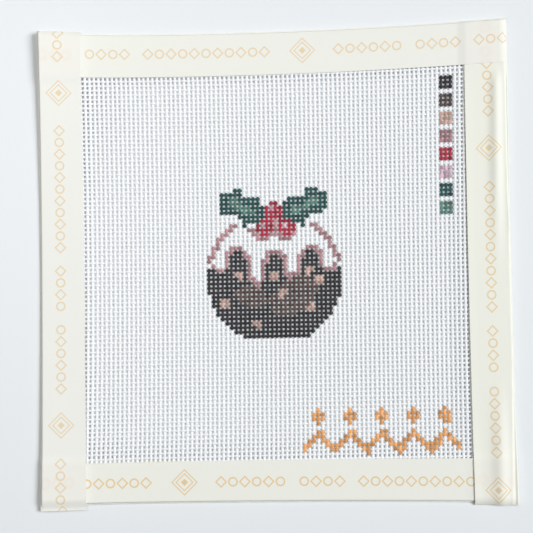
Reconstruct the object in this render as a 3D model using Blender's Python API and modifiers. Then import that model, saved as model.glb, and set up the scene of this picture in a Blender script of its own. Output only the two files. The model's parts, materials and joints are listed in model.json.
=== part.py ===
"""A hand-painted needlepoint canvas: open cotton mesh with taped edges and a painted christmas pudding.

The canvas lies on a table, painted side up, with its left edge curled off the table. Four strips of
paper tape are folded round its raw edges. Metres, +Z up, +X right and +Y up in the picture. The origin
is in the middle, on the table.
"""

import math

import bmesh
import bpy
from mathutils import Vector

MM = 0.001

# The taped outline, at the folds of the tape: a hand-cut square of nominally 8 inches, out of true
BOTTOM_LEFT = Vector((-0.10135, -0.1047))
BOTTOM_RIGHT = Vector((0.10415, -0.1029))
TOP_LEFT = Vector((-0.10415, 0.1004))
TOP_RIGHT = Vector((0.10045, 0.1069))
BOW_BOTTOM = 0.9 * MM
BOW_TOP = -2.4 * MM
BOW_LEFT = 0.4 * MM
BOW_RIGHT = -0.5 * MM
SIDE = 205 * MM

# The mesh, 13 threads to the inch, and where the middle stitch of the picture lies on it
COLUMNS = 104.6
ROWS = 106.2
MIDDLE_U = 0.4995
MIDDLE_V = 0.505
CANVAS_THICK = 1.0 * MM

# The tape, 1.5 inches wide, folded in half over the raw edge
TAPE_WIDTH = 38.1 * MM
TAPE_THICK = 0.15 * MM
GAP = 0.1 * MM
LAYER = TAPE_THICK + GAP
FOLD_DEPTH = 0.35 * MM
FOLD_HALF_HEIGHT = 0.2 * MM
EASE = 2 * MM
RAW_INSET = 1.0 * MM
FOLD_STEPS = 6

# The front width of each strip at its start and its end, going along +X or +Y
FRONT = {
    "left": (19.8 * MM, 18.7 * MM),
    "top": (19.3 * MM, 18.9 * MM),
    "right": (18.7 * MM, 18.7 * MM),
    "bottom": (17.7 * MM, 18.7 * MM),
}

# How far each strip runs past the folds of the strips that it crosses. Less than 0 stops short of them
RUN_PAST = {
    "left": (2.3 * MM, 0.9 * MM),
    "top": (-1.2 * MM, -0.3 * MM),
    "right": (1.0 * MM, -1.2 * MM),
    "bottom": (-1.2 * MM, -3.2 * MM),
}
MIDDLE_LINES = {"left": 6, "top": 6, "right": 10, "bottom": 2}

# Which strips each one lies over, and how much further out it comes down past their folds
LIES_OVER = {"bottom": (), "right": ("bottom",), "top": ("right",), "left": ("top", "bottom")}
SLACK = 0.4 * MM

# The curl of the left edge off the table, towards its two corners
CURL_SHARE = 0.25
CURL_LINES = [30 * MM, 40 * MM, CURL_SHARE * SIDE]
LIFT_TOP_LEFT = 2.8 * MM
LIFT_BOTTOM_LEFT = 1.3 * MM

# The painted picture, in stitches from its middle
MIRROR = -0.16
PAINT_THICK = 0.06 * MM
PAINT_GAP = 0.05 * MM
CANVAS_TOP = LAYER + CANVAS_THICK
BODY_RADIUS = 15.0
BODY_RISE = -3.3
BODY_FLOOR = -16.5
BODY_STEPS = 28
LINE_WIDTH = 1.0
LINE_GAP = 0.12
ICING_STEPS = 54
ICING_LEVEL = -0.73
ICING_WAVE = 3.25
ICING_PITCH = 8.0
ICING_BLUNT = 2.2
ICING_WIDER = 0.35
ICING_HALF = 14.0
ICING_LAST = 12.8
ICING_SPREAD = 2.4
LONG_DRIP = 1.9
LONG_COLUMN = -4.0
LONG_WIDTH = 2.0
ARC_FOOT = 0.85
ARC_START = -4.15
ARC_END = math.radians(56)
ARC_RADIUS = 15.7
ARC_WIDTH = 1.2
ARC_STEPS = 12
LEAF_LENGTH = 5.9
LEAF_WIDTH = 4.0
LEAF_MIDDLE = (7.0, 12.7)
LEAF_TILT = math.radians(26.5)
LEAF_SCALLOPS = 1.12
LEAF_ROUND = 0.5
SCALLOP_DEPTH = 0.55
SCALLOP_START = -1.5
LEAF_STEPS = 28
VEIN_LENGTH = 0.72
VEIN_WIDTH = 0.3
BERRY_RADIUS = 2.05
BERRY_STEPS = 16
BERRIES = ((-0.16, 11.92), (-2.16, 7.94), (2.84, 7.94))
SHADE_RADIUS = 3.0
SHADE_SHIFT = -0.5
SHADE_ENDS = (math.radians(184), math.radians(335))
SHADE_MEET = math.radians(48)
SHADE_TOP = (0.5, 9.75)
SHADE_STEPS = 8
SHINE_RADIUS = 0.6
FRUIT_RADIUS = 1.1
FRUITS = ((-7.8, -2.6), (-0.3, -3.1), (7.4, -1.6), (9.6, -4.0),
          (1.5, -6.6), (-11.1, -9.0), (7.9, -10.5), (-4.0, -13.6))
DOT_STEPS = 8
PATCHES = {"left": ((-5.6, -7.6), 4.0, 2.4, -15), "right": ((4.0, -7.7), 6.0, 3.8, 30)}
PATCH_STEPS = 20
KEY_COLUMN = 38.4
KEY_TOP = 39.3
KEY_STEP = 4.0
KEY_SIDE = 3.0
MARK_LEFT = 5.6
MARK_FLOOR = -43.3
MARK_WAVES = 5
MARK_WAVE = 7.0
MARK_HEIGHT = 4.0
MARK_LINE = 2.2
LOZENGE_RISE = 8.8
LOZENGE_RADIUS = 2.1

COLOURS = {
    "canvas": (0.86, 0.88, 0.90),
    "tape": (0.88, 0.88, 0.82),
    "charcoal": (0.033, 0.030, 0.034),
    "brown": (0.105, 0.062, 0.055),
    "peach": (0.60, 0.33, 0.26),
    "mauve": (0.43, 0.17, 0.20),
    "red": (0.42, 0.018, 0.045),
    "pink": (0.68, 0.38, 0.50),
    "teal": (0.017, 0.075, 0.075),
    "green": (0.08, 0.25, 0.14),
    "orange": (0.80, 0.30, 0.08),
}
KEY_COLOURS = ("charcoal", "brown", "peach", "mauve", "red", "pink", "teal", "green")


def clear_scene():
    for item in list(bpy.data.objects):
        bpy.data.objects.remove(item)


def make_material(name, colour, roughness):
    material = bpy.data.materials.new(name)
    material.use_nodes = True
    shader = material.node_tree.nodes["Principled BSDF"]
    shader.inputs["Base Color"].default_value = (*colour, 1)
    shader.inputs["Roughness"].default_value = roughness
    shader.inputs["Metallic"].default_value = 0
    return material


def mix(start, end, share):
    return start + (end - start) * share


def clamp(value):
    return max(0.0, min(1.0, value))


def bowed(start, end, share, bow, sideways):
    """A point on one side of the outline, which bows in or out by a part of a parabola."""
    point = mix(start, end, share)
    point[sideways] += bow * 4 * share * (1 - share)
    return point


def outline_point(u, v):
    """The canvas's own grid on the table: u runs along the bottom and v up the left, both 0 to 1."""
    bottom = bowed(BOTTOM_LEFT, BOTTOM_RIGHT, u, BOW_BOTTOM, 1)
    top = bowed(TOP_LEFT, TOP_RIGHT, u, BOW_TOP, 1)
    left = bowed(BOTTOM_LEFT, TOP_LEFT, v, BOW_LEFT, 0)
    right = bowed(BOTTOM_RIGHT, TOP_RIGHT, v, BOW_RIGHT, 0)
    corners = mix(mix(BOTTOM_LEFT, BOTTOM_RIGHT, u), mix(TOP_LEFT, TOP_RIGHT, u), v)
    return mix(bottom, top, v) + mix(left, right, u) - corners


def lift(u, v):
    """How far the curled left edge stands off the table: it touches it half way up."""
    upper = LIFT_TOP_LEFT * clamp(2 * v - 1) ** 2
    lower = LIFT_BOTTOM_LEFT * clamp(1 - 2 * v) ** 2
    return (upper + lower) * clamp((CURL_SHARE - u) / CURL_SHARE) ** 2


def right_inset(v):
    """How far the canvas's ragged right edge stays inside the fold of its tape."""
    upper = 0.6 * MM * clamp((v - 0.55) / 0.15)
    lower = 2.0 * MM * clamp(1 - v / 0.3)
    return RAW_INSET + upper + lower


def distances(u, v):
    """How far a point is from each fold, and how far in the canvas's raw edge is there."""
    return {
        "left": (u * SIDE, RAW_INSET),
        "right": ((1 - u) * SIDE, right_inset(v)),
        "bottom": (v * SIDE, RAW_INSET),
        "top": ((1 - v) * SIDE, RAW_INSET),
    }


def over_canvas(u, v, crossed):
    """1 where the canvas fills the tape, falling to 0 just outside its raw edges."""
    share = 1.0
    for side, (distance, inset) in distances(u, v).items():
        reach = distance + SLACK * (side in crossed)
        share *= clamp((reach - 0.4 * inset) / (0.5 * inset))
    return share


def under_tape(side, u, v):
    """1 inside a strip of tape, falling to 0 on either side of it."""
    distance = distances(u, v)[side][0]
    inner = clamp((max(FRONT[side]) + EASE - distance) / EASE)
    outer = clamp((distance + 0.5 * MM) / (0.4 * MM))
    return inner * outer


def crossing(u, v):
    """1 in the corners, where two strips of tape cross and the canvas lies one layer higher."""
    level = under_tape("left", u, v) + under_tape("right", u, v)
    upright = under_tape("top", u, v) + under_tape("bottom", u, v)
    return clamp(level) * clamp(upright)


def mapped_sheet(name, across, along, place, thickness, material, collection):
    """A sheet of across by along points, each put where place(i, j) says, with a thickness."""
    cage = bmesh.new()
    bmesh.ops.create_grid(cage, x_segments=across - 1, y_segments=along - 1, size=0.5)
    for vertex in cage.verts:
        i = round((vertex.co.x + 0.5) * (across - 1))
        j = round((vertex.co.y + 0.5) * (along - 1))
        vertex.co = place(i, j)
    mesh = bpy.data.meshes.new(name)
    cage.to_mesh(mesh)
    cage.free()
    mesh.materials.append(material)
    sheet = bpy.data.objects.new(name, mesh)
    collection.objects.link(sheet)
    solid = sheet.modifiers.new("thickness", "SOLIDIFY")
    solid.thickness = thickness
    solid.offset = 0
    solid.use_even_offset = True
    return sheet


def even_steps(start, end, count):
    """Places spaced evenly between two others, without them."""
    return [mix(start, end, (k + 1) / (count + 1)) for k in range(count)]


def canvas_lines(low_front, high_front, middle):
    """Grid lines across the canvas, in metres from one fold to the other, without the raw edges."""
    near = [6 * MM, 12 * MM, low_front, low_front + EASE]
    far = [SIDE - high_front - EASE, SIDE - high_front, SIDE - 10 * MM]
    return near + middle + far


def make_canvas(material, collection):
    """The mesh as one thin sheet, to its raw edges inside the tape."""
    wide = [80 * MM, 110 * MM, 140 * MM, 165 * MM]
    columns = canvas_lines(max(FRONT["left"]), max(FRONT["right"]), CURL_LINES + wide)
    tall = [40 * MM, 62 * MM, 80 * MM, 110 * MM, 140 * MM, 165 * MM]
    rows = canvas_lines(max(FRONT["bottom"]), max(FRONT["top"]), tall)
    rows = [RAW_INSET] + rows + [SIDE - RAW_INSET]

    def place(i, j):
        v = rows[j] / SIDE
        if i == 0:
            u = RAW_INSET / SIDE
        elif i == len(columns) + 1:
            u = 1 - right_inset(v) / SIDE
        else:
            u = columns[i - 1] / SIDE
        point = outline_point(u, v)
        bottom = lift(u, v) + LAYER * (1 + crossing(u, v))
        return Vector((point.x, point.y, bottom + CANVAS_THICK / 2))

    across = len(columns) + 2
    return mapped_sheet("canvas", across, len(rows), place, CANVAS_THICK, material, collection)


def section(front, inset):
    """The folded strip's section, from its back edge round the fold to its front edge.

    Each point is its distance in from the fold, and its height between the layers: -1 is the back
    layer and 1 the front one.
    """
    back = TAPE_WIDTH - front - 2 * FOLD_HALF_HEIGHT - CANVAS_THICK
    flaps = [0.4 * inset, 0.9 * inset, 6 * MM, 12 * MM]
    points = [(back, -1), (12 * MM, -1), (6 * MM, -1), (0.9 * inset, -1)]
    for k in range(FOLD_STEPS + 1):
        angle = math.pi * (k / FOLD_STEPS - 0.5)
        points.append((FOLD_DEPTH * (1 - math.cos(angle)), math.sin(angle)))
    points += [(distance, 1) for distance in flaps] + [(front, 1)]
    return points


def side_to_grid(side, distance, along):
    """A strip's own distances as the canvas's u and v."""
    inward = distance / SIDE
    forward = along / SIDE
    return {
        "left": (inward, forward),
        "right": (1 - inward, forward),
        "bottom": (forward, inward),
        "top": (forward, 1 - inward),
    }[side]


def make_tape(side, material, collection):
    """One strip of tape, folded round an edge, over some of the strips it crosses and under others."""
    lines = tape_lines(side)
    lies_over = LIES_OVER[side]
    lies_under = [other for other in LIES_OVER if side in LIES_OVER[other]]
    first_front, last_front = FRONT[side]
    count = len(section(first_front, RAW_INSET))
    filled = CANVAS_THICK + TAPE_THICK + 2 * GAP - 2 * FOLD_HALF_HEIGHT

    def place(i, j):
        along = lines[j]
        front = mix(first_front, last_front, along / SIDE)
        inset = right_inset(along / SIDE) if side == "right" else RAW_INSET
        distance, level = section(front, inset)[i]
        u, v = side_to_grid(side, distance, along)
        point = outline_point(u, v)
        raised = sum(under_tape(other, u, v) for other in lies_under)
        wrapped = sum(under_tape(other, u, v) for other in lies_over)
        space = 2 * FOLD_HALF_HEIGHT + (level == 1) * filled * over_canvas(u, v, lies_over)
        bottom = lift(u, v) + TAPE_THICK / 2 + LAYER * raised
        top = 2 * LAYER * wrapped * (level + 1) / 2
        return Vector((point.x, point.y, bottom + space * (level + 1) / 2 + top))

    name = f"tape_{side}"
    return mapped_sheet(name, count, len(lines), place, TAPE_THICK, material, collection)


def end_bends(side, crossed, inset, run_past):
    """Where a strip bends near one end, by distance in from the fold of the strip that it crosses."""
    slack = SLACK * (crossed in LIES_OVER[side])
    front = max(FRONT[crossed])
    bends = [-0.5 * MM, -0.1 * MM, 0.4 * inset - slack, 0.9 * inset - slack]
    bends += [6 * MM, 12 * MM, front, front + EASE]
    return [-run_past] + [bend for bend in bends if bend > 0.1 * MM - run_past]


def tape_lines(side):
    """The places along a strip where it bends, from its start to its end."""
    upright = side in ("left", "right")
    first, last = ("bottom", "top") if upright else ("left", "right")
    last_inset = RAW_INSET if upright else right_inset(float(side == "top"))
    start = end_bends(side, first, RAW_INSET, RUN_PAST[side][0])
    end = end_bends(side, last, last_inset, RUN_PAST[side][1])
    if not upright:
        start += CURL_LINES
    middle = even_steps(start[-1], SIDE - end[-1], MIDDLE_LINES[side])
    return start + middle + [SIDE - bend for bend in reversed(end)]


def stitch_point(column, row):
    """Where a stitch lies on the table, counted from the picture's middle."""
    return outline_point(MIDDLE_U + column / COLUMNS, MIDDLE_V + row / ROWS)


def paint_field(name, outline, coat, material, collection):
    """A field of paint on the mesh: a flat outline in stitches. A second coat lies on the first."""
    curve = bpy.data.curves.new(name, "CURVE")
    curve.dimensions = "2D"
    curve.fill_mode = "BOTH"
    curve.extrude = PAINT_THICK / 2
    spline = curve.splines.new("POLY")
    spline.points.add(len(outline) - 1)
    for point, (column, row) in zip(spline.points, outline):
        place = stitch_point(column, row)
        point.co = (place.x, place.y, 0, 1)
    spline.use_cyclic_u = True
    curve.materials.append(material)
    field = bpy.data.objects.new(name, curve)
    level = PAINT_GAP + PAINT_THICK / 2 + (coat - 1) * (PAINT_THICK + PAINT_GAP)
    field.location.z = CANVAS_TOP + level
    collection.objects.link(field)
    return field


def arc(middle, radius, start, end, steps):
    """Points along part of a circle, in stitches."""
    turns = [mix(start, end, k / steps) for k in range(steps + 1)]
    return [(middle[0] + radius * math.cos(t), middle[1] + radius * math.sin(t)) for t in turns]


def disc(column, row, radius, steps):
    """A round outline, in stitches."""
    return arc((column, row), radius, 0, 2 * math.pi * (1 - 1 / steps), steps - 1)


def square(column, row, side):
    """A square outline, in stitches, from its lower left corner."""
    return [(column, row), (column + side, row), (column + side, row + side), (column, row + side)]


def icing_edge(column):
    """The height of the icing's wavy lower edge: wide arches, narrower drips with blunt ends, and one longer
    drip. Past the last drip on each side, the edge runs out flat."""
    beside = max(-ICING_LAST, min(ICING_LAST, column - MIRROR))
    wave = math.cos(2 * math.pi * beside / ICING_PITCH)
    blunt = math.tanh(ICING_BLUNT * (wave + ICING_WIDER))
    spread = ICING_SPREAD * (column / ICING_HALF) ** 2
    longer = LONG_DRIP * math.exp(-((column - LONG_COLUMN) / LONG_WIDTH) ** 2)
    return ICING_LEVEL + ICING_WAVE * blunt + spread - longer


def beside_icing(column, offset):
    """A point beside the icing's edge: offset stitches above it, at right angles to it."""
    step = 0.01
    slope = (icing_edge(column + step) - icing_edge(column - step)) / (2 * step)
    length = math.hypot(slope, 1)
    return (column - offset * slope / length, icing_edge(column) + offset / length)


def icing_columns():
    return [mix(-ICING_HALF, ICING_HALF, k / ICING_STEPS) for k in range(ICING_STEPS + 1)]


def body_outline():
    """The pudding below its icing: the wavy edge, then a round side to a flat foot and up again."""
    below = -LINE_WIDTH / 2 - LINE_GAP
    edge = [beside_icing(c, below) for c in icing_columns()]
    foot = math.asin((BODY_FLOOR - BODY_RISE) / BODY_RADIUS)
    right = math.asin((edge[-1][1] - BODY_RISE) / BODY_RADIUS)
    left = math.asin((edge[0][1] - BODY_RISE) / BODY_RADIUS)
    middle = (MIRROR, BODY_RISE)
    right_side = arc(middle, BODY_RADIUS, right, foot, BODY_STEPS)
    left_side = arc(middle, BODY_RADIUS, -math.pi - foot, -math.pi - left, BODY_STEPS)
    return edge + right_side + left_side


def icing_line():
    """The line painted along the icing's lower edge."""
    columns = icing_columns()
    upper = [beside_icing(c, LINE_WIDTH / 2) for c in columns]
    lower = [beside_icing(c, -LINE_WIDTH / 2) for c in reversed(columns)]
    return upper + lower


def top_arc(sign):
    """The line round the icing's top, on one side of the holly."""
    foot = icing_edge(sign * ICING_HALF) - ARC_START + ARC_FOOT
    start = math.asin(foot / ARC_RADIUS)
    middle = (0, ARC_START)
    far = arc(middle, ARC_RADIUS, start, ARC_END, ARC_STEPS)
    near = arc(middle, ARC_RADIUS - ARC_WIDTH, ARC_END, start, ARC_STEPS)
    return [(MIRROR + sign * column, row) for column, row in far + near]


def leaf(sign, length, width):
    """A holly leaf: a lens with a scalloped edge, tilted up and away from the berries."""
    points = []
    for edge in (1, -1):
        for k in range(LEAF_STEPS):
            t = edge * (1 - 2 * k / LEAF_STEPS)
            turn = LEAF_SCALLOPS * math.pi * t + SCALLOP_START * edge
            scallop = 1.1 - SCALLOP_DEPTH * abs(math.sin(turn))
            along = LEAF_LENGTH * length * t
            side = edge * LEAF_WIDTH * width * (1 - t * t) ** LEAF_ROUND * scallop
            x = along * math.cos(LEAF_TILT) - side * math.sin(LEAF_TILT)
            y = along * math.sin(LEAF_TILT) + side * math.cos(LEAF_TILT)
            points.append((MIRROR + sign * (LEAF_MIDDLE[0] + x), LEAF_MIDDLE[1] + y))
    return points


def berry_shadow():
    """The soft shade round and between the lower berries: two arcs below, and a peak between them."""
    left, right = [(column + SHADE_SHIFT, row) for column, row in BERRIES[1:]]
    start, end = SHADE_ENDS
    meet = 1.5 * math.pi
    points = arc(left, SHADE_RADIUS, start, meet + SHADE_MEET, SHADE_STEPS)
    points += arc(right, SHADE_RADIUS, meet - SHADE_MEET, end, SHADE_STEPS)
    return points + [SHADE_TOP]


def warm_patch(middle, length, width, tilt):
    """A lighter brown patch, slanting across the pudding."""
    tilt = math.radians(tilt)
    points = []
    for k in range(PATCH_STEPS):
        turn = 2 * math.pi * k / PATCH_STEPS
        x, y = length * math.cos(turn), width * math.sin(turn)
        column = middle[0] + x * math.cos(tilt) - y * math.sin(tilt)
        row = middle[1] + x * math.sin(tilt) + y * math.cos(tilt)
        points.append((column, row))
    return points


def zigzag():
    """The small generic border in the corner: a zigzag line."""
    upper, lower = [], []
    for k in range(2 * MARK_WAVES + 1):
        column = MARK_LEFT + k * MARK_WAVE / 2
        row = MARK_FLOOR + MARK_HEIGHT * (k % 2)
        lower.append((column, row))
        upper.append((column, row + MARK_LINE))
    return lower + upper[::-1]


def make_picture(materials, collection):
    """All the painted fields."""
    fields = [
        ("paint_body", body_outline(), 1, "charcoal"),
        ("paint_icing_line", icing_line(), 1, "mauve"),
        ("paint_berry_shadow", berry_shadow(), 1, "mauve"),
        ("paint_mark_line", zigzag(), 1, "orange"),
    ]
    for name, sign in (("left", -1), ("right", 1)):
        fields.append((f"paint_warm_{name}", warm_patch(*PATCHES[name]), 2, "brown"))
        fields.append((f"paint_arc_{name}", top_arc(sign), 1, "mauve"))
        fields.append((f"paint_leaf_{name}", leaf(sign, 1, 1), 1, "teal"))
        fields.append((f"paint_vein_{name}", leaf(sign, VEIN_LENGTH, VEIN_WIDTH), 2, "green"))
    for k, (column, row) in enumerate(BERRIES):
        fields.append((f"paint_berry_{k + 1}", disc(column, row, BERRY_RADIUS, BERRY_STEPS), 3, "red"))
        shine = disc(column - SHINE_RADIUS, row + SHINE_RADIUS, SHINE_RADIUS, DOT_STEPS)
        fields.append((f"paint_shine_{k + 1}", shine, 4, "pink"))
    for k, (column, row) in enumerate(FRUITS):
        fields.append((f"paint_fruit_{k + 1}", disc(column, row, FRUIT_RADIUS, DOT_STEPS), 3, "peach"))
    for k, colour in enumerate(KEY_COLOURS):
        outline = square(KEY_COLUMN - KEY_SIDE / 2, KEY_TOP - KEY_SIDE / 2 - k * KEY_STEP, KEY_SIDE)
        fields.append((f"paint_key_{k + 1}", outline, 1, colour))
    for k in range(MARK_WAVES):
        column = MARK_LEFT + (k + 0.5) * MARK_WAVE
        lozenge = disc(column, MARK_FLOOR + LOZENGE_RISE, LOZENGE_RADIUS, 4)
        fields.append((f"paint_mark_{k + 1}", lozenge, 1, "orange"))
    return [paint_field(n, o, coat, materials[c], collection) for n, o, coat, c in fields]


def main():
    clear_scene()
    collection = bpy.data.collections.new("needlepoint_canvas")
    bpy.context.scene.collection.children.link(collection)
    materials = {name: make_material(name, c, 0.8) for name, c in COLOURS.items()}
    pieces = [make_canvas(materials["canvas"], collection)]
    pieces += [make_tape(side, materials["tape"], collection) for side in LIES_OVER]
    pieces += make_picture(materials, collection)
    root = bpy.data.objects.new("needlepoint_canvas_root", None)
    collection.objects.link(root)
    for piece in pieces:
        piece.parent = root


main()
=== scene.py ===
"""The looks of a hand-painted needlepoint canvas: woven threads, painted stitches, taped edges and a table.

Metres, +Z up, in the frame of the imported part: +X right and +Y up in the picture, the table at z = 0.
Threads are counted in stitches from the picture's middle, where a warp and a weft thread cross.
"""

import json
import math

import bmesh
import bpy
import numpy as np
from mathutils import Matrix, Vector
from mathutils.bvhtree import BVHTree


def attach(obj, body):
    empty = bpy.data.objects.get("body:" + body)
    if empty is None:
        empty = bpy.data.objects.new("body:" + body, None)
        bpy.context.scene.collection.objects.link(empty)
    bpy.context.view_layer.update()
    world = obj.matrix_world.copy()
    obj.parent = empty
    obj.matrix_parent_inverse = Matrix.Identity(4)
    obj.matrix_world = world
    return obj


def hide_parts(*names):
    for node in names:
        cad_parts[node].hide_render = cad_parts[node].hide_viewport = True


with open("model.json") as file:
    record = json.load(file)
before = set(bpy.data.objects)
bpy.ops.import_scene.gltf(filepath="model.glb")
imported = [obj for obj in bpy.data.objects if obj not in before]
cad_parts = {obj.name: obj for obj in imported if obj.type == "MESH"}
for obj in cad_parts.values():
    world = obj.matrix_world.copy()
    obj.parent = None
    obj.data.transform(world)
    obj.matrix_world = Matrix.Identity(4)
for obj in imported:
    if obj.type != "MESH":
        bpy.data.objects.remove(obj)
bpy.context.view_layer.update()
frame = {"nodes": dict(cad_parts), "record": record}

rng = np.random.default_rng(13)

MM = 0.001

# The taped outline, at the folds of the tape
BOTTOM_LEFT = np.array((-0.10135, -0.1047))
BOTTOM_RIGHT = np.array((0.10415, -0.1029))
TOP_LEFT = np.array((-0.10415, 0.1004))
TOP_RIGHT = np.array((0.10045, 0.1069))
BOW_BOTTOM = 0.9 * MM
BOW_TOP = -2.4 * MM
BOW_LEFT = 0.4 * MM
BOW_RIGHT = -0.5 * MM
SIDE = 205 * MM

# The mesh, and where the middle stitch of the picture lies on it
COLUMNS = 104.6
ROWS = 106.2
MIDDLE_U = 0.4995
MIDDLE_V = 0.505
CANVAS_THICK = 1.0 * MM

# The tape
TAPE_WIDTH = 38.1 * MM
TAPE_THICK = 0.15 * MM
GAP = 0.1 * MM
LAYER = TAPE_THICK + GAP
FOLD_DEPTH = 0.35 * MM
FOLD_HALF_HEIGHT = 0.2 * MM
EASE = 2 * MM
RAW_INSET = 1.0 * MM
RAGGED_UPPER = 0.6 * MM
RAGGED_LOWER = 2.0 * MM
SLACK = 0.4 * MM
FRONT = {
    "left": (19.8 * MM, 18.7 * MM),
    "top": (19.3 * MM, 18.9 * MM),
    "right": (18.7 * MM, 18.7 * MM),
    "bottom": (17.7 * MM, 18.7 * MM),
}
RUN_PAST = {
    "left": (2.3 * MM, 0.9 * MM),
    "top": (-1.2 * MM, -0.3 * MM),
    "right": (1.0 * MM, -1.2 * MM),
    "bottom": (-1.2 * MM, -3.2 * MM),
}
LIES_OVER = {"bottom": (), "right": ("bottom",), "top": ("right",), "left": ("top", "bottom")}

# The curl of the left edge off the table, towards its two corners
CURL_SHARE = 0.25
LIFT_TOP_LEFT = 2.8 * MM
LIFT_BOTTOM_LEFT = 1.3 * MM

# How far the threads lie from an even grid, in stitches: constant, x, y, xy, xx, yy, xxy and xyy terms, with
# x and y in units of PULL_REACH stitches. The pull fades out under the tape, over PULL_FADE stitches
PULL_REACH = 50
PULL_ENDS = (51, 52)
PULL_FADE = 6
PULL_COLUMNS = (0.33, -0.16, 0.22, 0.30, -0.07, -0.17, 0.18, 0.34)
PULL_ROWS = (0.44, -0.06, -0.06, -0.54, -0.09, 0.37, -0.23, 0.30)

# The threads. The warp stands a little higher than the weft, and paint makes both wider
PITCH = 1.96 * MM
WARP_WIDTH = 1.04 * MM
WEFT_WIDTH = 0.88 * MM
PAINTED_WIDTH = 1.07 * MM
WARP_CRIMP = 0.13 * MM
WEFT_CRIMP = 0.15 * MM
WARP_RISE = 0.02 * MM
THREAD_THICK = 0.26 * MM
SAG = 0.33 * MM
SAG_REACH = {"left": 5 * MM, "right": 11 * MM, "bottom": 12 * MM, "top": 5 * MM}
CRIMP_BLUNT = 0.4
SWAY = 0.03
GIRTH_CHANGE = 0.05
PAINT_LOADS = (0.7, 1.35)
PAINT_THINNESS = (0.9, 1.0)
# Painted shade on the yarn: how light it is painted, from where it dips into the shade of the other threads
# to where it rises over them
WARP_PAINTED_SHADING = (0.9, 1.0)
WEFT_PAINTED_SHADING = (0.3, 0.55)
FINE_STEP = 0.25
COARSE_STEP = 0.5
FINE_SIDES = 6
COARSE_SIDES = 4
SEEN_COLUMNS = (-44, 44)
SEEN_ROWS = (-46, 45)
BAND_EDGES = (-54.5, -31.5, -16.5, -1.5, 13.5, 28.5, 53.5)

# The strips of tape: points along each one, round its fold, across its front and across its back, and how
# much they crowd towards the fold
TAPE_LINES = 121
FOLD_STEPS = 12
FLAP_STEPS = 26
REAR_STEPS = 12
REAR_CROWDING = 1.5
FLAP_CROWDING = 1.8

# The right strip's loose fold: a ridge on the fold, a low shoulder beside it, and an inner edge off the mesh
RIDGE_HEIGHT = 0.75 * MM
RIDGE_REACH = (1.5 * MM, 1.0 * MM)
SHOULDER_HEIGHT = 1.0 * MM
SHOULDER_MIDDLE = (7.4 * MM, 4.9 * MM)
SHOULDER_REACH = (3.2 * MM, 2.0 * MM)
EDGE_HEIGHT = 0.25 * MM
EDGE_REACH = 3.5 * MM
# Where it is loose, as shares of the way up: each a start and a length
LOOSE_BELOW_TOP = (0.86, 0.04)
LOOSE_UPPER = (0.45, 0.25)
LOOSE_LOWER = (0.28, 0.2)
EDGE_LOWER = (0.05, 0.15)
EDGE_UPPER_SHARE = 0.4

# How much less blue there is in each strip's ivory, and how strong its print is
TAPE_YELLOWING = {"left": 0.0, "right": 0.03, "bottom": 0.015, "top": 0.01}
PRINT_STRENGTH = {"left": 0.66, "right": 0.74, "bottom": 0.88, "top": 0.68}

# The print along the tape, in millimetres: rings and lozenges in groups, and a large diamond between them
PRINT_MIDDLE = 9.6
PRINT_LENGTH = 144.5
PRINT_START = {"left": 34.4, "right": 5.3, "top": 115.8, "bottom": 62.0}
MARK_PITCH = 5.1
MARK_GROUPS = ((13.2, 43.8), (48.9, 69.3), (74.4, 130.5))
MARK_STROKE = 0.26
RING_RADIUS = 1.75
LOZENGE_RADIUS = 2.2
DIAMOND_RADII = (5.4, 3.6)
DIAMOND_DOT = 1.5
INK_BLUR = 0.12
NOWHERE = -500.0
THROUGH_BLUR = 1.6
THROUGH_SHARE = 0.1
DOUBLED_SHARE = 0.3

# The picture's paints, as linear colours
PAINTS = {
    "charcoal": (0.024, 0.022, 0.025),
    "brown": (0.080, 0.055, 0.051),
    "peach": (0.48, 0.303, 0.25),
    "mauve": (0.36, 0.195, 0.21),
    "red": (0.32, 0.018, 0.042),
    "pink": (0.54, 0.37, 0.445),
    "teal": (0.013, 0.061, 0.060),
    "green": (0.080, 0.184, 0.149),
    "orange": (0.65, 0.305, 0.11),
}

# How well each paint covers the white cotton
OPACITY = {
    "charcoal": 1.0,
    "brown": 0.95,
    "peach": 0.8,
    "mauve": 0.82,
    "red": 0.95,
    "pink": 0.8,
    "teal": 0.97,
    "green": 0.9,
    "orange": 0.88,
}
STITCH_SAMPLES = 5
# The share of a stitch that its fields cover when it is painted
LEAST_COVER = 0.39
LEAST_COVER_BORDER = 0.48

# The camera, as in the photograph: straight above, leaning a little to the front and the right
AIM = Vector((-4.02 * MM, -1.43 * MM, 0))
CAMERA_DISTANCE = 0.52
LEAN_FRONT = math.radians(2.2)
LEAN_RIGHT = math.radians(0.9)
IMAGE_SIDE = 533
MM_PER_PIXEL = 0.4342

# Each light's place, the point it faces, its width, its power and its colour
LIGHTS = (
    ("window", (2.20, 0.30, 2.20), (0.0, 0.0, 0.0), 1.70, 100.6, (0.955, 0.97, 1.0)),
    ("ceiling", (0.0, 0.10, 1.1), (0.0, 0.0, 0.0), 0.35, 1.25, (0.95, 1.0, 0.96)),
    ("near_wall", (-0.30, 0.13, 0.45), (-0.06, 0.0, 0.0), 0.40, 1.04, (1.0, 0.975, 0.96)),
)
ROOM_TINT = (1.0, 1.0, 1.0, 1.0)
ROOM_STRENGTH = 0.002
# The wall that is seen past the table's edge. It gives no light
WALL_TINT = (0.60, 0.63, 0.65, 1.0)


def mix(start, end, share):
    return start + (end - start) * share


def clamp(value):
    return np.clip(value, 0.0, 1.0)


def smooth(share):
    share = clamp(share)
    return share * share * (3 - 2 * share)


def rising(value, span):
    """From 0 at a span's start to 1 after its length."""
    return smooth((value - span[0]) / span[1])


def unit(vectors):
    return vectors / np.linalg.norm(vectors, axis=-1, keepdims=True)


# The taped canvas's own grid and heights, as in the part


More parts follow.
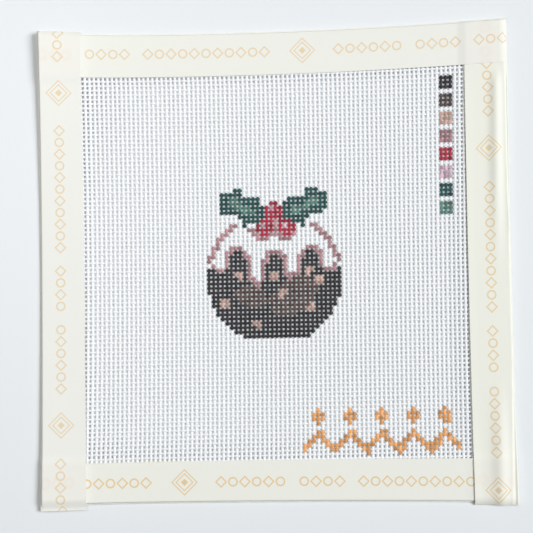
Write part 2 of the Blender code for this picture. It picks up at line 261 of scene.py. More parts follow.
def bowed(start, end, share, bow, sideways):
    """Points on one side of the outline, which bows in or out by a part of a parabola."""
    points = mix(start, end, share[..., None])
    points[..., sideways] += bow * 4 * share * (1 - share)
    return points


def outline_point(u, v):
    """The canvas's grid on the table: u runs along the bottom and v up the left, both 0 to 1."""
    bottom = bowed(BOTTOM_LEFT, BOTTOM_RIGHT, u, BOW_BOTTOM, 1)
    top = bowed(TOP_LEFT, TOP_RIGHT, u, BOW_TOP, 1)
    left = bowed(BOTTOM_LEFT, TOP_LEFT, v, BOW_LEFT, 0)
    right = bowed(BOTTOM_RIGHT, TOP_RIGHT, v, BOW_RIGHT, 0)
    across, up = u[..., None], v[..., None]
    corners = mix(mix(BOTTOM_LEFT, BOTTOM_RIGHT, across), mix(TOP_LEFT, TOP_RIGHT, across), up)
    return mix(bottom, top, up) + mix(left, right, across) - corners


def lift(u, v):
    """How far the curled left edge stands off the table: it touches it half way up."""
    upper = LIFT_TOP_LEFT * clamp(2 * v - 1) ** 2
    lower = LIFT_BOTTOM_LEFT * clamp(1 - 2 * v) ** 2
    return (upper + lower) * clamp((CURL_SHARE - u) / CURL_SHARE) ** 2


def right_inset(v):
    """How far the canvas's ragged right edge stays inside the fold of its tape."""
    upper = RAGGED_UPPER * clamp((v - 0.55) / 0.15)
    lower = RAGGED_LOWER * clamp(1 - v / 0.3)
    return RAW_INSET + upper + lower


def thread_uv(columns, rows):
    """Where threads cross, as the canvas's u and v: inside the tape, the weave is pulled a little out of
    square."""
    x, y = columns / PULL_REACH, rows / PULL_REACH
    inside = smooth((PULL_ENDS[0] - abs(columns)) / PULL_FADE)
    inside = inside * smooth((PULL_ENDS[1] - abs(rows)) / PULL_FADE)
    terms = np.stack([x * 0 + 1, x, y, x * y, x * x, y * y, x * x * y, x * y * y]) * inside
    pulled_columns = np.tensordot(PULL_COLUMNS, terms, axes=1)
    pulled_rows = np.tensordot(PULL_ROWS, terms, axes=1)
    return MIDDLE_U + (columns + pulled_columns) / COLUMNS, MIDDLE_V + (rows + pulled_rows) / ROWS


def distances(u, v):
    """How far a point is from each fold, and how far in the canvas's raw edge is there."""
    return {
        "left": (u * SIDE, RAW_INSET),
        "right": ((1 - u) * SIDE, right_inset(v)),
        "bottom": (v * SIDE, RAW_INSET),
        "top": ((1 - v) * SIDE, RAW_INSET),
    }


def over_canvas(u, v, crossed):
    """1 where the canvas fills the tape, falling to 0 just outside its raw edges."""
    share = 1.0
    for side, (distance, inset) in distances(u, v).items():
        reach = distance + SLACK * (side in crossed)
        share = share * smooth((reach - 0.4 * inset) / (0.5 * inset))
    return share


def under_tape(side, u, v):
    """1 inside a strip of tape, falling to 0 on either side of it."""
    distance = distances(u, v)[side][0]
    inner = smooth((max(FRONT[side]) + EASE - distance) / EASE)
    outer = smooth((distance + 0.5 * MM) / (0.4 * MM))
    return inner * outer


def crossing(u, v):
    """1 in the corners, where two strips of tape cross and the canvas lies one layer higher."""
    level = under_tape("left", u, v) + under_tape("right", u, v)
    upright = under_tape("top", u, v) + under_tape("bottom", u, v)
    return clamp(level) * clamp(upright)


def sag(u, v):
    """How far the open mesh sinks to the table, away from the tape that it lies on."""
    depth = 1.0
    for side, (distance, _) in distances(u, v).items():
        depth = depth * smooth((distance - max(FRONT[side])) / SAG_REACH[side])
    return SAG * depth


def canvas_point(u, v):
    """The canvas's middle surface."""
    height = lift(u, v) + LAYER * (1 + crossing(u, v)) + CANVAS_THICK / 2 - sag(u, v)
    return np.concatenate([outline_point(u, v), height[..., None]], axis=-1)


# The painted picture, stitch by stitch


def painted_stitches():
    """Which paint each stitch has, read from the part's painted fields: the one that covers most of it. A
    stitch that is covered too little stays bare, and each paint's load differs a little by stitch."""
    names = list(PAINTS)
    slots = {row["node"]: row["material_slot"] for row in frame["record"]["subparts"]}
    points, faces, paint_of = [], [], []
    for name, node in frame["nodes"].items():
        if not name.startswith("paint_"):
            continue
        first = len(points)
        points += [vertex.co.copy() for vertex in node.data.vertices]
        for face in node.data.polygons:
            faces.append([first + k for k in face.vertices])
            paint_of.append(names.index(slots[name].removeprefix("paint_")))
    tree = BVHTree.FromPolygons(points, faces)
    columns = np.arange(SEEN_COLUMNS[0] - 1, SEEN_COLUMNS[1] + 2)
    rows = np.arange(SEEN_ROWS[0] - 1, SEEN_ROWS[1] + 2)
    counts = np.zeros((len(columns), len(rows), len(names)))
    offsets = (np.arange(STITCH_SAMPLES) + 0.5) / STITCH_SAMPLES - 0.5
    down = Vector((0, 0, -1))
    for right in offsets:
        for up in offsets:
            grid = np.meshgrid(columns + right, rows + up, indexing="ij")
            places = outline_point(*thread_uv(*grid))
            for i, j in np.ndindex(places.shape[:2]):
                hit = tree.ray_cast(Vector((*places[i, j], 0.02)), down)[2]
                if hit is not None:
                    counts[i, j, paint_of[hit]] += 1
    paints = counts.argmax(-1)
    least = np.where(paints == names.index("orange"), LEAST_COVER_BORDER, LEAST_COVER)
    paints = np.where(counts.sum(-1) >= least * STITCH_SAMPLES ** 2, paints, -1)
    loads = rng.uniform(*PAINT_LOADS, paints.shape)
    thin = rng.uniform(*PAINT_THINNESS, paints.shape)
    return columns, rows, paints, loads, thin


def stitch_paint(picture, columns, rows):
    """The paint's colour and how much of it there is, at whole columns and rows."""
    known_columns, known_rows, paints, loads, thin = picture
    i = np.clip(columns - known_columns[0], 0, len(known_columns) - 1).astype(int)
    j = np.clip(rows - known_rows[0], 0, len(known_rows) - 1).astype(int)
    index = paints[i, j]
    colours = np.array(list(PAINTS.values()) + [(0, 0, 0)])[index]
    opacity = np.array(list(OPACITY.values()) + [0])[index]
    return colours * loads[i, j][..., None], opacity * thin[i, j]


def paint_along(picture, columns, rows, step_column, step_row, share):
    """Paint between two neighbouring stitches: each one's paint ends half way to the next."""
    near_colour, near = stitch_paint(picture, columns, rows)
    far_colour, far = stitch_paint(picture, columns + step_column, rows + step_row)
    far = far * smooth(share * 2 - 0.5)
    near = near * smooth(1.5 - share * 2)
    cover = near + far
    total = np.maximum(cover, 1e-6)[..., None]
    return (near_colour * near[..., None] + far_colour * far[..., None]) / total, clamp(cover)


# The woven threads


def wander(count, places, size):
    """A slow random sway along each of count threads."""
    phases = rng.uniform(0, 2 * np.pi, (3, count, 1))
    waves = rng.uniform(0.05, 0.4, (3, count, 1))
    return size * np.sin(phases + waves * places).sum(0) / 3


def weave_threads(kind, lines, places, sides, picture):
    """Rings of points round threads of one kind, warp or weft, with their paint, their painted shade and
    their yarn map.
    """
    warp = kind == "warp"
    lines = lines[:, None].astype(float)
    sway = wander(len(lines), places[:1], SWAY)
    girth = 1 + wander(len(lines), places[:1], GIRTH_CHANGE)
    if warp:
        u, v = thread_uv(lines + sway, places + 0 * lines)
        width = WARP_WIDTH
    else:
        u, v = thread_uv(places + 0 * lines, lines + sway)
        width = WEFT_WIDTH
    step = 1e-4
    middle = canvas_point(u, v)
    along_u = canvas_point(u + step, v) - middle
    along_v = canvas_point(u, v + step) - middle
    normal = unit(np.cross(along_u, along_v))
    wave = np.tanh(CRIMP_BLUNT * np.cos(np.pi * (lines + places))) / np.tanh(CRIMP_BLUNT)
    rise = WARP_CRIMP * wave + WARP_RISE if warp else -WEFT_CRIMP * wave - WARP_RISE
    centre = middle + normal * rise[..., None]
    along = unit(np.gradient(centre, axis=1))
    side = unit(np.cross(along, normal))
    out = np.cross(side, along)
    whole = np.floor(places)
    share = places - whole
    if warp:
        colour, cover = paint_along(picture, lines, whole, 0, 1, share)
    else:
        colour, cover = paint_along(picture, whole, lines, 1, 0, share)
    turns = 2 * np.pi * np.arange(sides) / sides
    reach = (girth * mix(width, PAINTED_WIDTH, cover))[..., None] * np.cos(turns) / 2
    height = np.sin(turns) / np.sin(turns).max() * THREAD_THICK / 2
    rings = centre[:, :, None] + side[:, :, None] * reach[..., None]
    rings = rings + out[:, :, None] * height[:, None]

    colour = np.repeat(colour[:, :, None], sides, axis=2)
    below = np.where(height < -1e-6, 0.0, 1.0)
    cover = cover[..., None] * below
    yarn = np.broadcast_to(places * PITCH / MM + 37.7 * lines, u.shape)
    # Painted shade: the yarn is painted darker where it dips under the other threads, into their shade, and
    # this lightness is kept as raised
    over = clamp(wave * (1 if warp else -1) * 0.5 + 0.5)
    raised = mix(*(WARP_PAINTED_SHADING if warp else WEFT_PAINTED_SHADING), over)
    raised = np.repeat(raised[:, :, None], sides, axis=2)
    return {"rings": rings, "colour": colour, "cover": cover, "raised": raised, "yarn": yarn, "warp": warp}


def tube_corners(rings, first):
    """The corners of the quads and the end caps of threads whose rings start at vertex number first."""
    threads, samples, sides = rings.shape[:3]
    index = first + np.arange(threads * samples * sides).reshape(threads, samples, sides)
    near, far = index[:, :-1], index[:, 1:]
    quads = np.stack([near, np.roll(near, -1, 2), np.roll(far, -1, 2), far], axis=-1)
    caps = np.stack([index[:, 0, ::-1], index[:, -1]], axis=1)
    return quads.reshape(-1, 4), caps.reshape(-1, sides)


def corner_maps(group, low, high):
    """The yarn map and the planar map of each quad's corners. The planar map has a tile for the warp's upper
    side, the weft's upper side and each one's underside."""
    rings, yarn = group["rings"], group["yarn"]
    sides = rings.shape[2]
    turn = np.arange(sides) / sides
    near_far = np.stack([yarn[:, :-1], yarn[:, :-1], yarn[:, 1:], yarn[:, 1:]], axis=-1)
    length = np.repeat(near_far[:, :, None], sides, axis=2)
    around = np.stack([turn, turn + 1 / sides, turn + 1 / sides, turn], axis=-1)
    around = np.broadcast_to(around, length.shape)
    yarn_map = np.stack([length, around], axis=-1).reshape(-1, 4, 2)
    flat = (rings[..., :2] - low) / (high - low)
    near, far = flat[:, :-1], flat[:, 1:]
    planar = np.stack([near, np.roll(near, -1, 2), np.roll(far, -1, 2), far], axis=-2)
    under = (np.arange(sides) >= sides // 2).astype(float)[:, None]
    tile = under + 2 * (not group["warp"])
    planar = planar.copy()
    planar[..., 1] = (planar[..., 1] * 0.98 + 0.01 + tile) / 4
    return yarn_map, planar.reshape(-1, 4, 2)


def make_mesh(name, groups, material):
    """One mesh of all the groups of threads."""
    every = np.concatenate([group["rings"].reshape(-1, 3) for group in groups])
    low, high = every[:, :2].min(0), every[:, :2].max(0)
    corners, totals, yarn_map, planar_map = [], [], [], []
    first = 0
    for group in groups:
        quads, caps = tube_corners(group["rings"], first)
        first += group["rings"].size // 3
        yarn, planar = corner_maps(group, low, high)
        flat = (every[caps][..., :2] - low) / (high - low)
        corners += [quads.ravel(), caps.ravel()]
        totals += [np.full(len(quads), 4), np.full(len(caps), caps.shape[1])]
        yarn_map += [yarn.reshape(-1, 2), np.zeros((caps.size, 2))]
        planar_map += [planar.reshape(-1, 2), flat.reshape(-1, 2) * (1, 0.245)]
    corners, totals = np.concatenate(corners), np.concatenate(totals)
    mesh = bpy.data.meshes.new(name)
    mesh.vertices.add(len(every))
    mesh.vertices.foreach_set("co", every.ravel())
    mesh.loops.add(len(corners))
    mesh.loops.foreach_set("vertex_index", corners)
    mesh.polygons.add(len(totals))
    mesh.polygons.foreach_set("loop_start", np.concatenate([[0], np.cumsum(totals)[:-1]]))
    mesh.update(calc_edges=True)
    mesh.validate()
    for label, values in (("yarn", yarn_map), ("OFBake", planar_map)):
        layer = mesh.uv_layers.new(name=label)
        layer.data.foreach_set("uv", np.concatenate(values).ravel())
    colours = np.concatenate([group["colour"].reshape(-1, 3) for group in groups])
    colours = np.concatenate([colours, np.ones((len(colours), 1))], axis=1)
    mesh.attributes.new("paint", "FLOAT_COLOR", "POINT").data.foreach_set("color", colours.ravel())
    # cover is the paint's share; raised carries the threads' painted shade, darker where they dip
    for label in ("cover", "raised"):
        values = np.concatenate([group[label].ravel() for group in groups])
        mesh.attributes.new(label, "FLOAT", "POINT").data.foreach_set("value", values)
    mesh.shade_smooth()
    mesh.set_sharp_from_angle(angle=math.radians(75))
    mesh.materials.append(material)
    piece = bpy.data.objects.new(name, mesh)
    bpy.context.scene.collection.objects.link(piece)
    return piece


def thread_places(low, high, seen, step_seen, step_hidden):
    """Sample places along a thread: close together where it shows, further apart under the tape."""
    before = np.arange(low, min(max(seen[0], low), high), step_hidden)
    start, end = max(low, seen[0]), min(high, seen[1])
    middle = np.arange(start, end, step_seen) if end > start else np.empty(0)
    after = np.arange(max(end, low), high, step_hidden)
    return np.unique(np.round(np.concatenate([before, middle, after, [high]]), 6))


def make_weave(material, picture):
    """The woven canvas, in bands across the picture. Threads under the tape have fewer faces."""
    first_row = (RAW_INSET / SIDE - MIDDLE_V) * ROWS
    last_row = (1 - RAW_INSET / SIDE - MIDDLE_V) * ROWS
    first_column = (RAW_INSET / SIDE - MIDDLE_U) * COLUMNS
    last_column = (1 - RAW_INSET / SIDE - MIDDLE_U) * COLUMNS
    columns = np.arange(math.ceil(first_column), math.floor(last_column - 1) + 1)
    seen_column = (columns >= SEEN_COLUMNS[0]) & (columns <= SEEN_COLUMNS[1])
    pieces = []
    for k, (low, high) in enumerate(zip(BAND_EDGES[:-1], BAND_EDGES[1:])):
        low, high = max(low, first_row), min(high, last_row)
        rows = np.arange(math.ceil(low), math.floor(high) + 1)
        seen_row = (rows >= SEEN_ROWS[0]) & (rows <= SEEN_ROWS[1])
        upright = thread_places(low, high, SEEN_ROWS, FINE_STEP, COARSE_STEP)[None, :]
        level = thread_places(first_column, last_column, SEEN_COLUMNS, FINE_STEP, COARSE_STEP)[None, :]
        groups = [
            weave_threads("warp", columns[seen_column], upright, FINE_SIDES, picture),
            weave_threads("warp", columns[~seen_column], upright[:, ::2], COARSE_SIDES, picture),
            weave_threads("weft", rows[seen_row], weft_ends(rows[seen_row], level), FINE_SIDES, picture),
        ]
        if not seen_row.all():
            hidden = rows[~seen_row]
            places = weft_ends(hidden, level[:, ::2])
            groups.append(weave_threads("weft", hidden, places, COARSE_SIDES, picture))
        piece = make_mesh(f"weave_{k + 1}", groups, material)
        flat = (SIDE * (last_column - first_column) / COLUMNS, SIDE * (high - low) / ROWS)
        pieces.append((piece, flat))
    return pieces


def weft_ends(rows, level):
    """The places along weft threads, drawn in at their right ends to the canvas's ragged raw edge."""
    v = MIDDLE_V + rows[:, None] / ROWS
    end = (1 - right_inset(v) / SIDE - MIDDLE_U) * COLUMNS
    start = SEEN_COLUMNS[1] + 1.0
    last = level[0, -1]
    share = clamp((level - start) / (last - start))
    return np.where(level > start, start + share * (end - start), level + 0 * end)


# The strips of tape


def side_to_grid(side, distance, along):
    """A strip's own distances as the canvas's u and v."""
    inward, forward = distance / SIDE, along / SIDE
    if side == "left":
        return inward, forward
    if side == "right":
        return 1 - inward, forward
    if side == "bottom":
        return forward, inward
    return forward, 1 - inward


def grid_to_side(side, u, v):
    """The canvas's u and v as a strip's own distances: in from its fold, and along it."""
    distance = distances(u, v)[side][0]
    along = v if side in ("left", "right") else u
    return distance, along * SIDE


def section(front):
    """The folded strip's section: distance in from the fold, and level between its layers, from -1 for the
    back one to 1 for the front one."""
    back = TAPE_WIDTH - front - 2 * FOLD_HALF_HEIGHT - CANVAS_THICK
    steps = np.linspace(1, 0, REAR_STEPS + 1)[:-1, None] ** REAR_CROWDING
    rear = FOLD_DEPTH + (back - FOLD_DEPTH) * steps
    turns = np.linspace(-math.pi / 2, math.pi / 2, FOLD_STEPS + 1)[:, None]
    fold = FOLD_DEPTH * (1 - np.cos(turns)) + 0 * front
    steps = np.linspace(0, 1, FLAP_STEPS + 1)[1:, None] ** FLAP_CROWDING
    flap = FOLD_DEPTH + (front - FOLD_DEPTH) * steps
    distance = np.concatenate([rear, fold, flap])
    level = np.concatenate([np.full(len(rear), -1.0), np.sin(turns[:, 0]), np.ones(len(flap))])
    return distance, np.broadcast_to(level[:, None], distance.shape)


def looseness(side, distance, v):
    """How far the right strip's front stands off what is below it: most near its two ends."""
    if side != "right":
        return 0 * distance
    free = 1 - rising(v, LOOSE_BELOW_TOP)
    lower = smooth((LOOSE_LOWER[0] - v) / LOOSE_LOWER[1])
    ends = (rising(v, LOOSE_UPPER) + lower) * free
    ridge = RIDGE_HEIGHT * np.exp(-(distance / mix(*RIDGE_REACH, v)) ** 2)
    from_crest = (distance - mix(*SHOULDER_MIDDLE, v)) / mix(*SHOULDER_REACH, v)
    shoulder = SHOULDER_HEIGHT * np.exp(-from_crest ** 2)
    edge = EDGE_HEIGHT * smooth((distance - FRONT[side][0] + EDGE_REACH) / EDGE_REACH)
    return (ridge + shoulder) * ends + edge * free * mix(1.0, EDGE_UPPER_SHARE, rising(v, EDGE_LOWER))


def strip_point(side, distance, level, along):
    """The middle of the tape, on the canvas or wrapped round the strips that it crosses."""
    lies_over = LIES_OVER[side]
    lies_under = [other for other in LIES_OVER if side in LIES_OVER[other]]
    u, v = side_to_grid(side, distance, along)
    raised = sum(under_tape(other, u, v) for other in lies_under)
    wrapped = sum(under_tape(other, u, v) for other in lies_over)
    filled = CANVAS_THICK + TAPE_THICK + 2 * GAP - 2 * FOLD_HALF_HEIGHT
    front_layer = level > 0.999
    space = 2 * FOLD_HALF_HEIGHT + front_layer * filled * over_canvas(u, v, lies_over)
    space = space + looseness(side, distance, v)
    bottom = lift(u, v) + TAPE_THICK / 2 + LAYER * raised
    height = bottom + (space + 2 * LAYER * wrapped) * (level + 1) / 2
    return np.concatenate([outline_point(u, v), height[..., None]], axis=-1)


def make_tape(side, material):
    """One strip of tape, folded round an edge, over some of the strips it crosses and under others."""
    start, end = -RUN_PAST[side][0], SIDE + RUN_PAST[side][1]
    count = TAPE_LINES
    along = np.linspace(start, end, count)
    front = mix(FRONT[side][0], FRONT[side][1], along / SIDE)
    distance, level = section(front)
    along = np.broadcast_to(along, distance.shape)
    middle = strip_point(side, distance, level, along)
    round_section = unit(np.gradient(middle, axis=0))
    lengthwise = unit(np.gradient(middle, axis=1))
    normal = unit(np.cross(round_section, lengthwise))
    if side in ("left", "top"):
        normal = -normal
    half = TAPE_THICK / 2
    outer, inner = middle + normal * half, middle - normal * half

    steps = np.linalg.norm(np.diff(middle, axis=0), axis=-1)
    length = np.concatenate([np.zeros((1, count)), np.cumsum(steps, axis=0)])
    fold_row = int(np.argmin(distance[:, 0]))
    length = (length - length[fold_row]) / MM
    strip_map = np.stack([along / MM, length], axis=-1)
    beneath_map = np.full(strip_map.shape, NOWHERE)
    u, v = side_to_grid(side, distance, along)
    for other in LIES_OVER[side]:
        far, forward = grid_to_side(other, u, v)
        on_it = (far < max(FRONT[other])) & (level > 0.5)
        beneath_map[on_it] = np.stack([forward, far], axis=-1)[on_it] / MM
    return sheet_solid(f"tape_{side}_paper", outer, inner, strip_map, beneath_map, material)


def sheet_solid(name, outer, inner, strip_map, beneath_map, material):
    """A thin solid between two grids of points, closed along its four edges."""
    rows, lines = outer.shape[:2]
    index = np.arange(rows * lines).reshape(rows, lines)

    def grid_faces(numbers):
        faces = [numbers[:-1, :-1], numbers[1:, :-1], numbers[1:, 1:], numbers[:-1, 1:]]
        return np.stack(faces, axis=-1).reshape(-1, 4)

    top = grid_faces(index)
    bottom = grid_faces(index + rows * lines)[:, ::-1]
    rim = np.concatenate([index[0, :], index[1:, -1], index[-1, -2::-1], index[-2:0:-1, 0]])
    ahead = np.roll(rim, -1)
    edge = np.stack([ahead, rim, rim + rows * lines, ahead + rows * lines], axis=-1)
    faces = np.concatenate([top, bottom, edge])
    points = np.concatenate([outer.reshape(-1, 3), inner.reshape(-1, 3)])
    mesh = bpy.data.meshes.new(name)
    mesh.from_pydata(points.tolist(), [], faces.tolist())
    for label, values in (("strip", strip_map), ("beneath", beneath_map)):
        values = np.tile(values.reshape(-1, 2), (2, 1))
        corners = np.empty(len(mesh.loops), dtype=int)
        mesh.loops.foreach_get("vertex_index", corners)
        mesh.uv_layers.new(name=label).data.foreach_set("uv", values[corners].ravel())
    cage = bmesh.new()
    cage.from_mesh(mesh)
    bmesh.ops.recalc_face_normals(cage, faces=cage.faces)
    cage.to_mesh(mesh)
    cage.free()
    mesh.shade_smooth()
    mesh.set_sharp_from_angle(angle=math.radians(50))
    mesh.materials.append(material)
    piece = bpy.data.objects.new(name, mesh)
    bpy.context.scene.collection.objects.link(piece)
    return piece


# Materials


def new_material(name):
    material = bpy.data.materials.new(name)
    material.use_nodes = True
    return material, material.node_tree.nodes["Principled BSDF"]


class Graph:
    """A short way to write node graphs: each call makes a node and gives its output."""

    def __init__(self, material):
        self.nodes = material.node_tree.nodes
        self.links = material.node_tree.links

    def put(self, socket, value):
        if isinstance(value, bpy.types.NodeSocket):
            self.links.new(value, socket)
        elif value is not None:
            socket.default_value = value

    def math(self, operation, first, second=None, third=None, clamped=False):
        node = self.nodes.new("ShaderNodeMath")
        node.operation = operation
        node.use_clamp = clamped
        for socket, value in zip(node.inputs, (first, second, third)):
            self.put(socket, value)
        return node.outputs[0]

    def ramp(self, value, low, high, to_low=0.0, to_high=1.0):
        node = self.nodes.new("ShaderNodeMapRange")
        node.interpolation_type = "SMOOTHSTEP"
        for name, given in (("Value", value), ("From Min", low), ("From Max", high)):
            self.put(node.inputs[name], given)
        self.put(node.inputs["To Min"], to_low)
        self.put(node.inputs["To Max"], to_high)
        return node.outputs["Result"]

    def mix(self, share, first, second, blend="MIX"):
        node = self.nodes.new("ShaderNodeMix")
        node.data_type = "RGBA"
        node.blend_type = blend
        self.put(node.inputs["Factor"], share)
        self.put(node.inputs["A"], first)
        self.put(node.inputs["B"], second)
        return node.outputs["Result"]

    def noise(self, vector, scale, detail=2.0, roughness=0.5):
        node = self.nodes.new("ShaderNodeTexNoise")
        self.put(node.inputs["Vector"], vector)
        node.inputs["Scale"].default_value = scale
        node.inputs["Detail"].default_value = detail
        node.inputs["Roughness"].default_value = roughness
        return node.outputs["Fac"]

    def uv(self, name):
        node = self.nodes.new("ShaderNodeUVMap")
        node.uv_map = name
        return node.outputs["UV"]

    def place(self):
        return self.nodes.new("ShaderNodeTexCoord").outputs["Object"]

    def stretched(self, vector, scale):
        node = self.nodes.new("ShaderNodeMapping")
        self.put(node.inputs["Vector"], vector)
        node.inputs["Scale"].default_value = scale
        return node.outputs["Vector"]

    def parts(self, vector):
        node = self.nodes.new("ShaderNodeSeparateXYZ")
        self.put(node.inputs[0], vector)
        return node.outputs["X"], node.outputs["Y"]

    def attribute(self, name, output):
        node = self.nodes.new("ShaderNodeAttribute")
        node.attribute_name = name
        return node.outputs[output]

    def bump(self, height, distance, strength=1.0, normal=None):
        node = self.nodes.new("ShaderNodeBump")
        node.inputs["Strength"].default_value = strength
        node.inputs["Distance"].default_value = distance
        self.put(node.inputs["Height"], height)
        self.put(node.inputs["Normal"], normal)
        return node.outputs["Normal"]


def colour(red, green, blue):
    return (red, green, blue, 1.0)


def thread_material():
    """Sized white cotton with matte paint on it: twisted plies, fibres, paint that misses some specks, and
    painted shade where the threads dip under each other.
    """
    material, shader = new_material("cotton_threads")
    graph = Graph(material)
    yarn = graph.uv("yarn")
    length, around = graph.parts(yarn)
    fibres = graph.noise(graph.stretched(yarn, (1.2, 14, 1)), 1.6, 3, 0.6)
    place = graph.place()
    patches = graph.noise(place, 60, 2)
    specks = graph.noise(place, 2600, 2, 0.6)
    # Painted shade: raised mixes the bright warp colour with the darker, bluer weft colour, so the yarn is
    # painted darker where it dips into the shade of the other threads
    raised = graph.attribute("raised", "Fac")
    warp = graph.mix(fibres, colour(0.91, 0.915, 0.92), colour(0.965, 0.97, 0.97))
    weft = graph.mix(fibres, colour(0.74, 0.77, 0.81), colour(0.84, 0.865, 0.89))
    cotton = graph.mix(raised, weft, warp)
    greyer = graph.math("MULTIPLY", graph.ramp(patches, 0.3, 0.7), 0.3)
    cotton = graph.mix(greyer, cotton, colour(0.90, 0.91, 0.925))
    # The paint gets painted shade too: darker where the yarn dips, besides the fibres' own tone
    fibre_tone_and_painted_shade = graph.math("MULTIPLY_ADD", fibres, 0.5, graph.math("MULTIPLY_ADD", raised, 0.35, 0.6))
    tint = graph.nodes.new("ShaderNodeCombineColor")
    for socket in tint.inputs:
        graph.put(socket, fibre_tone_and_painted_shade)
    paint = graph.mix(1.0, graph.attribute("paint", "Color"), tint.outputs["Color"], "MULTIPLY")
    frayed = graph.math("MULTIPLY_ADD", specks, 0.7, -0.35)
    cover = graph.math("ADD", graph.attribute("cover", "Fac"), frayed)
    cover = graph.ramp(cover, 0.22, 0.62)
    graph.put(shader.inputs["Base Color"], graph.mix(cover, cotton, paint))
    graph.put(shader.inputs["Roughness"], graph.ramp(cover, 0, 1, 0.72, 0.55))
    shader.inputs["Specular IOR Level"].default_value = 0.35
    twist = graph.math("SINE", graph.math("ADD", graph.math("MULTIPLY", length, 6.5),
                                          graph.math("MULTIPLY", around, 4 * math.pi)))
    twist = graph.math("MULTIPLY_ADD", twist, 0.5, 0.5)
    height = graph.math("ADD", graph.math("MULTIPLY", twist, 0.6), graph.math("MULTIPLY", fibres, 0.8))
    graph.put(shader.inputs["Normal"], graph.bump(height, 0.05 * MM, 0.6))
    return material


def print_ink(graph, map_name, start, softness):
    """How much ink of the tape's print there is at a place on the strip."""
    along, across = graph.parts(graph.uv(map_name))
    across = graph.math("SUBTRACT", across, PRINT_MIDDLE)
    along = graph.math("SUBTRACT", along, start - 10 * PRINT_LENGTH)
    along = graph.math("MODULO", along, PRINT_LENGTH)
    cells = graph.math("DIVIDE", graph.math("SUBTRACT", along, MARK_GROUPS[0][0]), MARK_PITCH)
    number = graph.math("FLOOR", cells)
    x = graph.math("MULTIPLY", graph.math("SUBTRACT", graph.math("FRACT", cells), 0.5), MARK_PITCH)
    flat = graph.math("ABSOLUTE", x)
    tall = graph.math("ABSOLUTE", across)
    radius = graph.math("SQRT", graph.math("ADD", graph.math("MULTIPLY", x, x),
                                           graph.math("MULTIPLY", across, across)))

    def stroke(distance):
        return graph.ramp(graph.math("ABSOLUTE", distance), MARK_STROKE, MARK_STROKE + softness, 1, 0)

    ring = stroke(graph.math("SUBTRACT", radius, RING_RADIUS))
    from_lozenge = graph.math("SUBTRACT", graph.math("ADD", flat, tall), LOZENGE_RADIUS)
    lozenge = stroke(graph.math("MULTIPLY", from_lozenge, 0.8))
    is_ring = graph.math("MODULO", graph.math("ADD", number, 40), 2)
    is_lozenge = graph.math("SUBTRACT", 1, is_ring)
    ring = graph.math("MULTIPLY", ring, is_ring)
    mark = graph.math("ADD", ring, graph.math("MULTIPLY", lozenge, is_lozenge))
    in_group = None
    for low, high in MARK_GROUPS:
        after, before = graph.math("GREATER_THAN", along, low), graph.math("LESS_THAN", along, high)
        within = graph.math("MULTIPLY", after, before)
        in_group = within if in_group is None else graph.math("ADD", in_group, within)
    mark = graph.math("MULTIPLY", mark, in_group)

    big = graph.math("PINGPONG", along, PRINT_LENGTH / 2)
    diamond = graph.math("ADD", big, tall)
    outer, inner = (stroke(graph.math("SUBTRACT", diamond, size)) for size in DIAMOND_RADII)
    dot = graph.ramp(diamond, DIAMOND_DOT, DIAMOND_DOT + softness, 1, 0)
    large = graph.math("ADD", graph.math("ADD", outer, inner), dot, clamped=True)
    return graph.math("ADD", mark, large, clamped=True)


def tape_material(side):
    """Ivory paper tape with a pale gold print. Where two strips cross, the lower one's shows through."""
    material, shader = new_material(f"paper_tape_{side}")
    graph = Graph(material)
    strip = graph.uv("strip")
    fibres = graph.noise(graph.stretched(strip, (0.6, 2.2, 1)), 1.4, 5, 0.65)
    cloudy = graph.noise(strip, 0.09, 2)
    yellow = TAPE_YELLOWING[side]
    paper = graph.mix(fibres, colour(0.82, 0.827, 0.765 - yellow), colour(0.875, 0.873, 0.82 - yellow))
    paper = graph.mix(graph.math("MULTIPLY", cloudy, 0.5), paper, colour(0.845, 0.835, 0.77 - yellow))
    for other in LIES_OVER[side][:1]:
        across = graph.parts(graph.uv("beneath"))[1]
        doubled = graph.ramp(across, -1, 0.5)
        paper = graph.mix(graph.math("MULTIPLY", doubled, DOUBLED_SHARE), paper, colour(0.86, 0.83, 0.76))
        through = print_ink(graph, "beneath", PRINT_START[other], THROUGH_BLUR)
        through = graph.math("MULTIPLY", through, THROUGH_SHARE)
        paper = graph.mix(through, paper, colour(0.80, 0.55, 0.38))
    ink = print_ink(graph, "strip", PRINT_START[side], INK_BLUR)
    worn = graph.ramp(graph.noise(strip, 3.0, 3), 0.2, 0.6, 0.72, 0.95)
    ink = graph.math("MULTIPLY", ink, graph.math("MULTIPLY", worn, PRINT_STRENGTH[side]))
    graph.put(shader.inputs["Base Color"], graph.mix(ink, paper, colour(0.77, 0.52, 0.21)))
    shader.inputs["Roughness"].default_value = 0.6
    shader.inputs["Specular IOR Level"].default_value = 0.3
    graph.put(shader.inputs["Normal"], graph.bump(fibres, 0.02 * MM, 0.5))
    return material


# The scene


def make_table():
    bpy.ops.mesh.primitive_plane_add(size=3.0, location=(0, 0, -0.05 * MM))
    table = bpy.context.object
    table.name = "table_top"
    material, shader = new_material("white_table")
    graph = Graph(material)
    mottled = graph.noise(graph.place(), 9, 3)
    surface = graph.mix(mottled, colour(0.80, 0.825, 0.84), colour(0.82, 0.845, 0.855))
    graph.put(shader.inputs["Base Color"], surface)
    shader.inputs["Roughness"].default_value = 0.55
    table.data.materials.append(material)


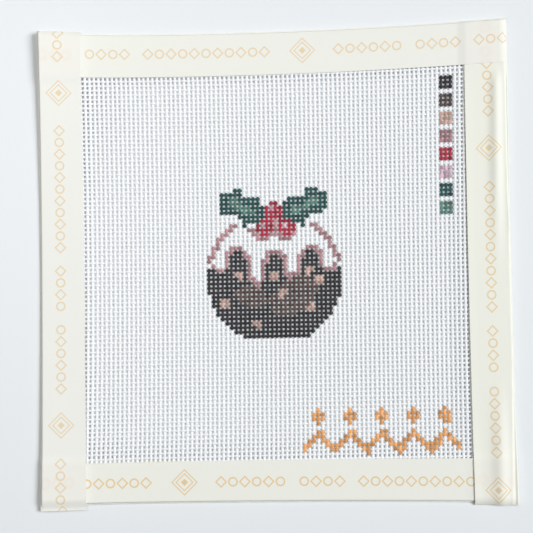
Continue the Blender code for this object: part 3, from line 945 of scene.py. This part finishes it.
def make_camera():
    data = bpy.data.cameras.new("camera")
    focal_pixels = CAMERA_DISTANCE / (MM_PER_PIXEL * MM)
    data.lens = data.sensor_width * focal_pixels / IMAGE_SIDE
    data.clip_start = 0.01
    camera = bpy.data.objects.new("camera", data)
    bpy.context.scene.collection.objects.link(camera)
    right, front = math.sin(LEAN_RIGHT), -math.sin(LEAN_FRONT)
    back = Vector((right, front, math.sqrt(1 - right ** 2 - front ** 2)))
    camera.location = AIM + back * CAMERA_DISTANCE
    across = Vector((0, 1, 0)).cross(back).normalized()
    up = back.cross(across)
    camera.rotation_euler = Matrix((across, up, back)).transposed().to_euler()
    bpy.context.scene.camera = camera


def area_light(name, place, aim, size, power, tint):
    data = bpy.data.lights.new(name, "AREA")
    data.shape = "DISK"
    data.size = size
    data.energy = power
    data.color = tint
    light = bpy.data.objects.new(name, data)
    light.location = place
    light.rotation_euler = (Vector(place) - Vector(aim)).to_track_quat("Z", "Y").to_euler()
    bpy.context.scene.collection.objects.link(light)


def make_light():
    """Soft daylight from the right, from above and from the left, in a pale room."""
    for name, place, aim, size, power, tint in LIGHTS:
        area_light(name, place, aim, size, power, tint)
    world = bpy.data.worlds.new("room")
    world.use_nodes = True
    nodes, links = world.node_tree.nodes, world.node_tree.links
    background = nodes["Background"]
    background.inputs["Color"].default_value = ROOM_TINT
    background.inputs["Strength"].default_value = ROOM_STRENGTH
    wall = nodes.new("ShaderNodeBackground")
    wall.inputs["Color"].default_value = WALL_TINT
    either = nodes.new("ShaderNodeMixShader")
    links.new(nodes.new("ShaderNodeLightPath").outputs["Is Camera Ray"], either.inputs["Fac"])
    links.new(background.outputs["Background"], either.inputs[1])
    links.new(wall.outputs["Background"], either.inputs[2])
    links.new(either.outputs["Shader"], nodes["World Output"].inputs["Surface"])
    bpy.context.scene.world = world


def main():
    view = bpy.context.scene.view_settings
    view.view_transform = "Standard"
    weave = make_weave(thread_material(), painted_stitches())
    painted = [name for name in frame["nodes"] if name.startswith("paint_")]
    for piece, flat in weave:
        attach(piece, "root")
        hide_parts("canvas", *painted)
    for side in LIES_OVER:
        piece = make_tape(side, tape_material(side))
        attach(piece, "root")
        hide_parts(f"tape_{side}")
    make_table()
    make_light()
    make_camera()


main()
